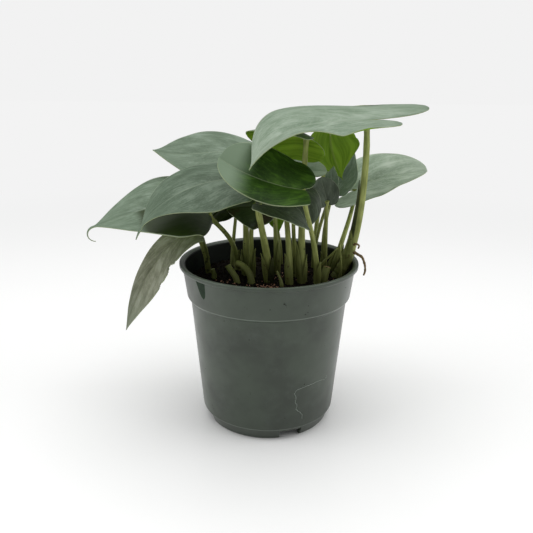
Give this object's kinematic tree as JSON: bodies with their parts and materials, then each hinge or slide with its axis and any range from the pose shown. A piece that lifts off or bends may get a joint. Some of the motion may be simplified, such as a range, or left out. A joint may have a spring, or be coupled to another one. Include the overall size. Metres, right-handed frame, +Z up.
{
  "type": "potted plant",
  "caption": "Potted scindapsus: heart-shaped silvery green leaves on olive stalks rise from potting mix in a round dark green nursery pot with a collar and a notched foot.",
  "frame": {"origin": "middle of the whole object's footprint, on the surface that the pot stands on", "axes": "+Z up along the pot's axis, -Y towards the front, +X towards the tallest leaf's stalk"},
  "size_m": [0.2138, 0.114, 0.2028],
  "materials": {
    "pot_plastic": "dark green injection moulded polypropylene, satin gloss",
    "potting_mix": "moist dark peat mix with bits of bark",
    "silver_leaf": "silvery green above, plain green below, satin",
    "ageing_leaf": "grey green ageing leaf with pale streaks, satin",
    "green_stem": "olive green, smooth, satin",
    "cut_stem": "olive green with a pale dry cut end",
    "aerial_root": "matt beige brown"
  },
  "bodies": {
    "root": {"aerial_root": "aerial_root", "back_left_leaf": "silver_leaf", "back_left_petiole": "green_stem", "back_tip_leaf": "silver_leaf", "back_tip_petiole": "green_stem", "blotched_leaf": "silver_leaf", "blotched_petiole": "green_stem", "canopy_leaf": "silver_leaf", "canopy_petiole": "green_stem", "curled_root": "aerial_root", "cut_stub_back": "cut_stem", "cut_stub_left": "cut_stem", "cut_stub_right": "cut_stem", "dark_sheath": "green_stem", "elbow_stem": "green_stem", "far_left_leaf": "silver_leaf", "far_left_petiole": "green_stem", "front_cup_leaf": "silver_leaf", "front_cup_petiole": "green_stem", "front_left_leaf": "silver_leaf", "front_left_petiole": "green_stem", "front_low_leaf": "silver_leaf", "front_low_petiole": "green_stem", "grey_leaf": "silver_leaf", "grey_petiole": "green_stem", "hanging_leaf": "ageing_leaf", "hanging_petiole": "green_stem", "middle_leaf": "silver_leaf", "middle_petiole": "green_stem", "middle_tip_leaf": "silver_leaf", "middle_tip_petiole": "green_stem", "node_sheath": "green_stem", "pot": "pot_plastic", "potting_mix": "potting_mix", "right_inner_leaf": "silver_leaf", "right_inner_petiole": "green_stem", "right_leaf": "silver_leaf", "right_petiole": "green_stem", "rolled_leaf": "silver_leaf", "rolled_petiole": "green_stem", "round_leaf": "silver_leaf", "round_petiole": "green_stem", "shaded_leaf": "silver_leaf", "shaded_petiole": "green_stem", "side_shoot": "green_stem", "sunlit_leaf": "silver_leaf", "sunlit_petiole": "green_stem", "young_bud": "green_stem", "young_spear": "green_stem"}
  },
  "joints": []
}
